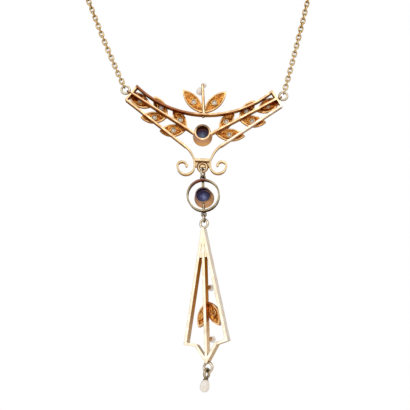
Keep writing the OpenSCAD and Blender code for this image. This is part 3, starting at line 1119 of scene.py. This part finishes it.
        curve = add(tree, "GeometryNodeMeshToCurve", {0: given["Geometry"]})
        spaced = add(tree, "GeometryNodeResampleCurve", {"Curve": curve, "Count": given["Links"]})
        tangent = add(tree, "GeometryNodeInputTangent")
        hole = add(tree, "GeometryNodeInputNamedAttribute", {"Name": "facing"}, data_type="FLOAT_VECTOR")
        index = add(tree, "GeometryNodeInputIndex")
        along = add(tree, "FunctionNodeAlignRotationToVector", {"Vector": tangent}, axis="X")
        rolled = add(tree, "FunctionNodeAlignRotationToVector", {"Rotation": along, "Vector": hole},
                     axis="Z", pivot_axis="X")
        # Every second link is a quarter turn on, and each is a little loose.
        odd = add(tree, "ShaderNodeMath", {0: index, 1: 2.0}, operation="MODULO")
        quarter = add(tree, "ShaderNodeMath", {0: odd, 1: math.pi / 2}, operation="MULTIPLY")
        less = add(tree, "ShaderNodeMath", {0: given["Loose Turn"], 1: -1.0}, operation="MULTIPLY")
        loose = add(tree, "FunctionNodeRandomValue", {2: less, 3: given["Loose Turn"],
                    "Seed": given["Seed"]}, data_type="FLOAT")
        turn = add(tree, "ShaderNodeMath", {0: quarter, 1: loose.outputs[1]}, operation="ADD")
        euler = add(tree, "ShaderNodeCombineXYZ", {"X": turn})
        as_rotation = add(tree, "FunctionNodeEulerToRotation", {0: euler})
        final = add(tree, "FunctionNodeRotateRotation", {"Rotation": rolled, "Rotate By": as_rotation},
                    rotation_space="LOCAL")
        end_group(tree, spaced, link, final, given["Material"])
        return tree

    def build(self, material: Material) -> bpy.types.Object:
        """Make the links as one plain mesh.

        Args:
            material: Finish of the wire.

        Returns:
            The piece.
        """
        line = self.path()
        mesh = bpy.data.meshes.new("chain_line")
        mesh.from_pydata(line, [(i, i + 1) for i in range(len(line) - 1)], [])
        facing = mesh.attributes.new("facing", "FLOAT_VECTOR", "POINT")
        facing.data.foreach_set("vector", [v for hole in self.holes(line) for v in hole])
        return run_group(self.tree(), mesh, {
            "Links": self.count(line),
            "Half Width": (self.width_mm - self.wire_mm) / 2 * MM,
            "Half Straight": (self.length_mm - self.width_mm) / 2 * MM,
            "Wire Radius": self.wire_mm / 2 * MM,
            "Round Points": self.link_points,
            "Wire Sides": self.wire_sides,
            "Loose Turn": math.radians(self.loose),
            "Seed": self.seed,
            "Material": material,
        }, f"{self.node}_links")


@dataclass
class Chains:
    """Both chains, on the routes of the part's source.

    Attributes:
        front_mm: Points of each side's route in front of the neck, from the jump ring up.
        round_neck_mm: Points from there to the clasp, with X counted outward.
    """

    front_mm: dict[Side, list[Point]] = field(default_factory=lambda: {
        Side.RIGHT: [(21.4, 106, -114.5), (23.9, 105.6, -105.8), (26.5, 104.4, -97)],
        Side.LEFT: [(-20.3, 106, -113.5), (-23.1, 105.6, -106.2), (-26.3, 104.4, -97.4)],
    })
    round_neck_mm: list[Point] = field(default_factory=lambda: [
        (33, 99, -80), (43, 84, -57), (52, 63, -35), (56, 39, -17), (51, 18, -6), (37, 6, -1.5), (20, 1, 0)])

    def build(self) -> list[bpy.types.Object]:
        """Make both chains.

        Returns:
            Their pieces.
        """
        # Drawn gold wire, bent and soldered link by link and barrelled bright: a yellower, softer shine.
        material = WorkedGold("drawn_gold_wire", bright="#F4D8A2", warm="#E8C080", side="#C0A266",
                              side_dark="#A2824A", rough=0.22, line_mm=0.3).make()
        pieces = []
        for side in Side:
            neck = [(side.value * x, y, z) for x, y, z in self.round_neck_mm]
            chain = LinkChain(side, [*self.front_mm[side], *neck])
            piece = chain.build(material)
            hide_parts(chain.node)
            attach(piece, "necklace")
            pieces.append(piece)
        return pieces


class LeafSize(NamedTuple):
    """Row of the table of leaves.

    Attributes:
        angle: Direction of the tip, in degrees.
        length_mm: Length of the leaf.
        width_mm: Width of the leaf.
    """

    angle: float
    length_mm: float
    width_mm: float


@dataclass(frozen=True)
class LeafBack:
    """Hollow back of one leaf: a shallow dish inside its rim, round the hole of its pearl.

    Attributes:
        pearl: Node of the leaf's pearl, which says where the leaf is.
        angle: Direction of the tip above the level, in degrees, as seen from behind.
        length_mm: Length of the leaf.
        width_mm: Width of the leaf.
        yaw: Turn of the leaf about the plumb line, in degrees.
        hole_mm: Radius of the hole that is left round the pearl.
        rim_mm: Width of the rim along the leaf's sides.
        tip_mm: Length of the rim at its tips.
        pearl_share: Where the pearl sits, as a share of the length from the foot.
        pearl_deep_mm: Distance from the leaf's back forward to the pearl's middle.
        deep_mm: Depth of the dish at the hole.
        edge_deep_mm: Depth of the dish at the rim.
        bowl: Power of the curve between the two.
        foot_mm: Depth of the shell's hidden side.
        steps: Points round the dish.
        rows: Rows of faces from the hole to the rim.
    """

    pearl: str
    angle: float
    length_mm: float
    width_mm: float
    yaw: float = 0.0
    hole_mm: float = 0.52
    rim_mm: float = 0.26
    tip_mm: float = 0.598
    pearl_share: float = 0.47
    pearl_deep_mm: float = 0.85
    deep_mm: float = 0.235
    edge_deep_mm: float = 0.05
    bowl: float = 2.4
    foot_mm: float = 0.3
    steps: int = 48
    rows: int = 7

    def axes(self) -> tuple[Vector, Vector, Vector]:
        """Work out the leaf's own axes.

        Returns:
            Directions along the leaf, across it, and forward into it.
        """
        turn, tip = math.radians(self.yaw), math.radians(self.angle)
        level_way, up = Vector((math.cos(turn), math.sin(turn), 0)), Vector((0, 0, 1))
        forward = Vector((-math.sin(turn), math.cos(turn), 0))
        along = level_way * math.cos(tip) + up * math.sin(tip)
        return along, up * math.cos(tip) - level_way * math.sin(tip), forward

    def middle(self) -> Vector:
        """Return the place on the leaf's back behind the middle of its pearl."""
        low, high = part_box(self.pearl)
        return (low + high) / 2 - self.axes()[2] * self.pearl_deep_mm * MM

    def reach(self, way: float) -> float:
        """Measure from the pearl's middle to the edge of the hollow, which two equal arcs bound.

        Args:
            way: Direction from the line along the leaf, in radians.

        Returns:
            Distance in millimetres.
        """
        half, wide = self.length_mm / 2 - self.tip_mm, self.width_mm / 2 - self.rim_mm
        radius = (half * half + wide * wide) / (2 * wide)
        start = Vector((self.pearl_share * self.length_mm - self.tip_mm - half, 0))
        ray = Vector((math.cos(way), math.sin(way)))
        found = []
        for centre in (Vector((0, wide - radius)), Vector((0, radius - wide))):
            off = start - centre
            along = off.dot(ray)
            found.append(-along + math.sqrt(along * along - off.dot(off) + radius * radius))
        return min(found)

    def build(self, mesh: bmesh.types.BMesh) -> None:
        """Add the dish to a mesh as a closed shell.

        Args:
            mesh: Mesh that it is added to.
        """
        along, across, forward = self.axes()
        middle = self.middle()
        rings = []
        for row in range(self.rows + 1):
            share = row / self.rows
            rings.append((share, self.deep_mm + (self.edge_deep_mm - self.deep_mm) * share**self.bowl))
        rings += [(1.0, self.foot_mm), (0.0, self.foot_mm)]
        grid = []
        for share, deep in rings:
            ring = []
            for step in range(self.steps):
                way = 2 * math.pi * step / self.steps
                out = self.hole_mm + share * (self.reach(way) - self.hole_mm)
                flat = along * math.cos(way) + across * math.sin(way)
                ring.append(mesh.verts.new(middle + (flat * out + forward * deep) * MM))
            grid.append(ring)
        for here, there in zip(grid, [*grid[1:], grid[0]]):
            for k in range(self.steps):
                after = (k + 1) % self.steps
                mesh.faces.new((here[k], here[after], there[after], there[k])).smooth = True


@dataclass
class Leaves:
    """Hollow backs of the leaves, with the burr that the drill left round each pearl's hole.

    Attributes:
        lean: Lean of the centrepiece to one side, in degrees.
        branch: Rise of a branch from the setting outward, in degrees, before the lean.
        branch_leaves: Leaves of a branch from the setting outward, with angles from the branch.
        right_low: Second leaf of the right branch, which isn't like the left one.
        spray: Leaf of the spray, with its angle from the level.
        drop: Leaf of the long drop, likewise.
        drop_yaw: Turn of the long drop about the plumb line, in degrees.
        drop_hole_mm: Radius of the hole in its dishes, which is all but shut.
        burr_mm: Radius of a burr.
        burr_wire_mm: Radius of its section.
        burr_deep_mm: Distance from a leaf's back forward to the middle of its burr.
        burr_points: Points round a burr.
        burr_sides: Sides of its section.
    """

    lean: float = 4.0
    branch: float = 31.2
    branch_leaves: tuple[LeafSize, ...] = (LeafSize(27, 6.0, 2.7), LeafSize(-36, 6.0, 2.9),
                                           LeafSize(26, 6.0, 2.7), LeafSize(-33, 6.0, 2.7),
                                           LeafSize(0, 6.0, 3.1))
    right_low: LeafSize = LeafSize(-34, 6.8, 2.9)
    spray: LeafSize = LeafSize(46.5, 7.3, 2.8)
    drop: LeafSize = LeafSize(-65.0, 6.2, 2.7)
    drop_yaw: float = -30.0
    drop_hole_mm: float = 0.02
    burr_mm: float = 0.61
    burr_wire_mm: float = 0.15
    burr_deep_mm: float = 0.19
    burr_points: int = 32
    burr_sides: int = 8

    def backs(self) -> dict[str, list[LeafBack]]:
        """List the leaves of each body that has some.

        Returns:
            The leaves by the body's name.
        """
        left = list(self.branch_leaves)
        right = [left[0], self.right_low, *left[2:]]
        fixed = []
        for first_pearl, side, rows in ((1, Side.RIGHT, right), (7, Side.LEFT, left)):
            turned = [row._replace(angle=self.branch + row.angle) for row in rows]
            for pearl, (angle, long, wide) in enumerate([*turned, self.spray], first_pearl):
                angle = angle if side is Side.RIGHT else 180 - angle
                fixed.append(LeafBack(f"seed_pearl_{pearl}", angle - self.lean, long, wide))
        angle, long, wide = self.drop
        swung = [LeafBack(f"drop_pearl_{name}", way, long, wide, self.drop_yaw, self.drop_hole_mm)
                 for name, way in (("right", angle), ("left", 180 - angle))]
        return {"necklace": fixed, "long_drop_body": swung}

    def dishes(self, leaves: list[LeafBack], name: str, material: Material) -> bpy.types.Object:
        """Make the dishes of one body's leaves as one piece.

        Args:
            leaves: The leaves.
            name: Name of the piece.
            material: Finish of the dishes.

        Returns:
            The piece.
        """
        work = bmesh.new()
        for leaf in leaves:
            leaf.build(work)
        bmesh.ops.recalc_face_normals(work, faces=work.faces)
        mesh = bpy.data.meshes.new(name)
        work.to_mesh(mesh)
        work.free()
        mesh.materials.append(material)
        return put(name, mesh)

    def burr_tree(self) -> Tree:
        """Build the node tree that puts a raised round rim at each point, square to its direction.

        Returns:
            The tree.
        """
        tree, given = start_group("burrs", {"Radius": "Float", "Wire Radius": "Float", "Round Points": "Int",
                                            "Wire Sides": "Int", "Material": "Material"})
        ring = add(tree, "GeometryNodeCurvePrimitiveCircle", {"Resolution": given["Round Points"],
                   "Radius": given["Radius"]})
        wire = add(tree, "GeometryNodeCurvePrimitiveCircle", {"Resolution": given["Wire Sides"],
                   "Radius": given["Wire Radius"]})
        burr = add(tree, "GeometryNodeCurveToMesh", {"Curve": ring, "Profile Curve": wire})
        way = add(tree, "GeometryNodeInputNamedAttribute", {"Name": "forward"}, data_type="FLOAT_VECTOR")
        turned = add(tree, "FunctionNodeAlignRotationToVector", {"Vector": way}, axis="Z")
        points = add(tree, "GeometryNodeMeshToPoints", {"Mesh": given["Geometry"]})
        end_group(tree, points, burr, turned, given["Material"])
        return tree

    def burrs(self, leaves: list[LeafBack], name: str, material: Material) -> bpy.types.Object:
        """Make the burrs of one body's leaves as one piece.

        Args:
            leaves: The leaves.
            name: Name of the piece.
            material: Finish of the burrs.

        Returns:
            The piece.
        """
        places = [leaf.middle() + leaf.axes()[2] * self.burr_deep_mm * MM for leaf in leaves]
        mesh = bpy.data.meshes.new("burr_points")
        mesh.from_pydata(places, [], [])
        way = mesh.attributes.new("forward", "FLOAT_VECTOR", "POINT")
        way.data.foreach_set("vector", [v for leaf in leaves for v in leaf.axes()[2]])
        return run_group(self.burr_tree(), mesh, {
            "Radius": self.burr_mm * MM,
            "Wire Radius": self.burr_wire_mm * MM,
            "Round Points": self.burr_points,
            "Wire Sides": self.burr_sides,
            "Material": material,
        }, name)

    def build(self) -> list[bpy.types.Object]:
        """Make the dishes and burrs of both bodies.

        Returns:
            Their pieces.
        """
        # Cast gold that was never polished: rough copper orange, mottled with brown.
        cast = WorkedGold("cast_copper_hollow", bright="#F2AA56", warm="#AC5616", cloud_mm=0.9091,
                          side="#C07840", side_dark="#9A5828", film_and_shade="#8A4A20", angle_mm=0.5, rough=0.24,
                          side_rough=0.24, edge_mm=0.02, wave_mm=0.5, wave_long_mm=0.9091,
                          metallic=0.85).make()
        # The drill's burr, rubbed bright.
        rubbed_and_lit = WorkedGold("rubbed_gold_burr", bright="#F3D69A", warm="#E9BF7C", rough=0.14,
                            edge_mm=0.02).make()
        pieces = []
        for body, leaves in self.backs().items():
            for piece in (self.dishes(leaves, f"{body}_leaf_dishes", cast),
                          self.burrs(leaves, f"{body}_leaf_burrs", rubbed_and_lit)):
                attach(piece, body)
                pieces.append(piece)
        return pieces


@dataclass
class Finishes:
    """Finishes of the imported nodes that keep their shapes.

    Attributes:
        setting_mm: Middle of the centrepiece's setting, at its back.
        hang_mm: Point of the upper link's eye, which the drops' heights are counted from.
        ring_low_mm: Distance from there down to the middle of the ring drop's setting.
        long_turn: Turn of the long drop about the plumb line, in degrees.
    """

    setting_mm: Point = (0.0, 105.0, -131.0)
    hang_mm: Point = (-0.206, 106.0, -131.0)
    ring_low_mm: float = 14.78
    long_turn: float = -30.0

    def materials(self) -> dict[str, Material]:
        """Make the materials of the nodes that have one of their own.

        Returns:
            Each material by its node's name.
        """
        hang_x, hang_y, hang_z = self.hang_mm
        # Hand-made gold openwork, buffed on the bars: painted pale highlights, copper hollows,
        # and brown corners of old polish and painted shade.
        openwork = OpenworkGold("buffed_gold_openwork", angle_mm=0.45, edge_mm=0.2, underside_lit=0.0,
                                origin_mm=self.setting_mm)
        # The same gold on the long drop, with its leaves on their own depth.
        drop = DropGold("buffed_gold_drop", bright="#E8DECE", warm="#DCC9AA", side="#FAF0E6",
                        side_dark="#EADCCC", film_and_shade="#7A3C14", wave_mm=0.1, origin_mm=self.hang_mm,
                        turn=self.long_turn)
        # The ring drop, greyer and darker, with darker painted shade on its sides,
        # and with a rosier setting as a separate piece of stock.
        ring = RingGold("buffed_gold_ring", bright="#B4A88E", warm="#857656", side="#66523A",
                        side_dark="#4A3826", film_and_shade="#5A4632", angle_mm=0.3, edge_mm=0.18, underside_lit=0.0,
                        origin_mm=(hang_x, hang_y, hang_z - self.ring_low_mm), wall_radius_mm=2.4,
                        back_radius_mm=1.87, back_mm=-1.1, rim_shade=Fade(-2.6, -1.2, high=0.85),
                        bore_shade="#86809E")
        # Turned gold barrel, of the chains' yellower stock.
        barrel = WorkedGold("turned_gold_barrel", bright="#EBC888", warm="#DDAE66")
        # Cut sapphires in deep bores: a painted soft blue light low in the stone, with painted shade round
        # it.
        blue = Corundum("blue_sapphire", "centre_sapphire")
        indigo = Corundum("indigo_sapphire", "ring_sapphire", light="#A4A8CC", body="#626898",
                          edge="#4C4462", low_mm=0.0)
        finishes = {"centrepiece": openwork, "long_drop": drop, "ring_drop": ring, "clasp": barrel,
                    "centre_sapphire": blue, "ring_sapphire": indigo}
        return {name: finish.make() for name, finish in finishes.items()}

    def dress(self) -> None:
        """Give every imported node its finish."""
        own = self.materials()
        # Round wire, tumbled bright, of the rings and the pearl's cap, with dark sides of painted shade.
        wire = WorkedGold("round_gold_wire", bright="#EADFC4", warm="#C0AE82", side="#7A6844",
                          side_dark="#57462A", film_and_shade="#66553A", rough=0.14, wave_mm=0.1).make()
        # White pearls with a soft lustre, and a faint warm painted light that stands for light coming
        # through.
        pearl = Nacre("white_pearl").make()
        for name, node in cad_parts.items():
            plain = pearl if "pearl" in name and name != "pearl_cap" else wire
            material = own.get(name, plain)
            for slot in node.material_slots:
                slot.material = material
            log.info("node %s: %s", name, material.name)


@dataclass(frozen=True)
class Softbox:
    """Square soft light that faces the middle of the necklace.

    Attributes:
        name: Its name.
        place: Its place in metres.
        side: Its side in metres.
        power: Its power in watts.
        target: Point that it faces, in metres.
    """

    name: str
    place: Point
    side: float
    power: float
    target: Point = (0.0, 0.1, -0.15)

    def build(self) -> None:
        """Add the light to the scene."""
        data = bpy.data.lights.new(self.name, "AREA")
        data.shape, data.size, data.energy = "SQUARE", self.side, self.power
        light = put(self.name, data)
        light.location = self.place
        way = Vector(self.target) - Vector(self.place)
        light.rotation_euler = way.to_track_quat("-Z", "Y").to_euler()


@dataclass
class Studio:
    """Plain pale floor, soft light from the camera's side and the photograph's viewpoint.

    Attributes:
        aim_mm: Point that the viewpoint is measured from.
        rise: Angle that the camera looks up, in degrees.
        roll: Roll of the camera, in degrees.
        distance_mm: Distance from the camera to the aim point's plane.
        across_mm: Camera's place to the picture's right of the aim point.
        up_mm: Camera's place above the aim point in the picture.
        lens_mm: Focal length.
        sensor_mm: Width of the sensor.
        clip: Nearest and farthest distance that the camera sees, in metres.
        floor_mm: Height of the floor.
        floor_half: Half the floor's width, in metres.
        lights: The soft lights.
        room: Tone of the room.
        ceiling: Brightness of the room, by how far up a direction looks.
        patch_scale: Patches of brighter and dimmer wall across the room's width.
        patchy: Their brightness.
        near: Brightness that is added behind the camera, by a direction's Y.
        right_way: Direction of a window on the right.
        right: Brightness that it adds, by how near a direction is to it.
        beyond: Tone that the camera sees past the necklace.
    """

    aim_mm: Point = (0.0, 105.0, -131.0)
    rise: float = 12.0
    roll: float = 1.6
    distance_mm: float = 330.0
    across_mm: float = 0.575
    up_mm: float = -16.79
    lens_mm: float = 125.98
    sensor_mm: float = 36.0
    clip: tuple[float, float] = (0.01, 20.0)
    floor_mm: float = -250.0
    floor_half: float = 2.5
    lights: tuple[Softbox, ...] = (Softbox("soft_left", (-0.75, -0.55, 0.15), 0.6, 1.6),
                                   Softbox("soft_front", (0.35, -0.95, 0.35), 0.5, 0.9),
                                   Softbox("soft_top", (0.1, 0.2, 0.7), 0.5, 1.2))
    room: str = "#FFFDF8"
    ceiling: Fade = Fade(-0.1, 0.9, 0.28, 0.75)
    patch_scale: float = 2.6
    patchy: Fade = Fade(0.42, 0.58, 0.35, 1.35, soft=True)
    near: Fade = Fade(-0.78, -0.985, high=1.05, soft=True)
    right_way: Point = (0.79, 0.52, 0.33)
    right: Fade = Fade(0.86, 0.96, high=0.6, soft=True)
    beyond: str = "#FFFFFF"

    def camera(self) -> None:
        """Place the camera at the photograph's viewpoint."""
        rise, roll = math.radians(self.rise), math.radians(self.roll)
        ahead = Vector((0, math.cos(rise), math.sin(rise)))
        level_way, upright = Vector((1, 0, 0)), Vector((0, -math.sin(rise), math.cos(rise)))
        right = level_way * math.cos(roll) - upright * math.sin(roll)
        top = upright * math.cos(roll) + level_way * math.sin(roll)
        place = Vector(self.aim_mm) + right * self.across_mm + top * self.up_mm - ahead * self.distance_mm
        data = bpy.data.cameras.new("camera")
        data.lens, data.sensor_width = self.lens_mm, self.sensor_mm
        data.clip_start, data.clip_end = self.clip
        camera = put("camera", data)
        turn = Matrix((right, top, -ahead)).transposed().to_4x4()
        camera.matrix_world = Matrix.Translation(place * MM) @ turn
        bpy.context.scene.camera = camera

    def floor(self) -> None:
        """Lay the floor."""
        half, height = self.floor_half, self.floor_mm * MM
        corners = [(x * half, y * half, height) for x, y in ((-1, -1), (1, -1), (1, 1), (-1, 1))]
        mesh = bpy.data.meshes.new("floor")
        mesh.from_pydata(corners, [], [(0, 1, 2, 3)])
        # Matt white board: it bounces a soft light up and shows no shine.
        mesh.materials.append(PaintedBoard().make())
        floor = put("floor", mesh)

    def world(self) -> None:
        """Surround the necklace with a dim room, bright on the camera's side and white past the necklace."""
        world = bpy.data.worlds.new("pale_room")
        bpy.context.scene.world = world
        world.use_nodes = True
        tree = world.node_tree
        tree.nodes.clear()
        way = add(tree, "ShaderNodeTexCoord").outputs["Generated"]
        toward = add(tree, "ShaderNodeSeparateXYZ", {0: way})
        patches = add(tree, "ShaderNodeTexNoise", {"Vector": way, "Scale": self.patch_scale, "Detail": 1.0})
        dim = level(tree, (toward.outputs["Z"], self.ceiling), (patches.outputs["Fac"], self.patchy))
        near = level(tree, (toward.outputs["Y"], self.near))
        beside = add(tree, "ShaderNodeVectorMath", {0: way, 1: self.right_way}, operation="DOT_PRODUCT")
        right = level(tree, (beside.outputs["Value"], self.right))
        bright = add(tree, "ShaderNodeMath", {0: near, 1: right}, operation="ADD")
        strength = add(tree, "ShaderNodeMath", {0: dim, 1: bright}, operation="ADD")
        room = add(tree, "ShaderNodeBackground", {"Color": linear(self.room), "Strength": strength})
        plain = add(tree, "ShaderNodeBackground", {"Color": linear(self.beyond), "Strength": 1.0})
        path = add(tree, "ShaderNodeLightPath")
        mixed = add(tree, "ShaderNodeMixShader", {0: path.outputs["Is Camera Ray"], 1: room, 2: plain})
        add(tree, "ShaderNodeOutputWorld", {"Surface": mixed})

    def build(self) -> None:
        """Set up the whole studio."""
        self.camera()
        self.floor()
        for light in self.lights:
            light.build()
        self.world()
        bpy.context.scene.view_settings.view_transform = "Standard"


def main() -> None:
    """Build the studio and the looks, and note the sizes."""
    logging.basicConfig(level=logging.INFO, format="%(name)s: %(message)s")
    Studio().build()
    Finishes().dress()
    for piece in [*Chains().build(), *Leaves().build()]:
        log.info("piece %s: %d faces", piece.name, len(piece.data.polygons))


if __name__ == "__main__":
    main()
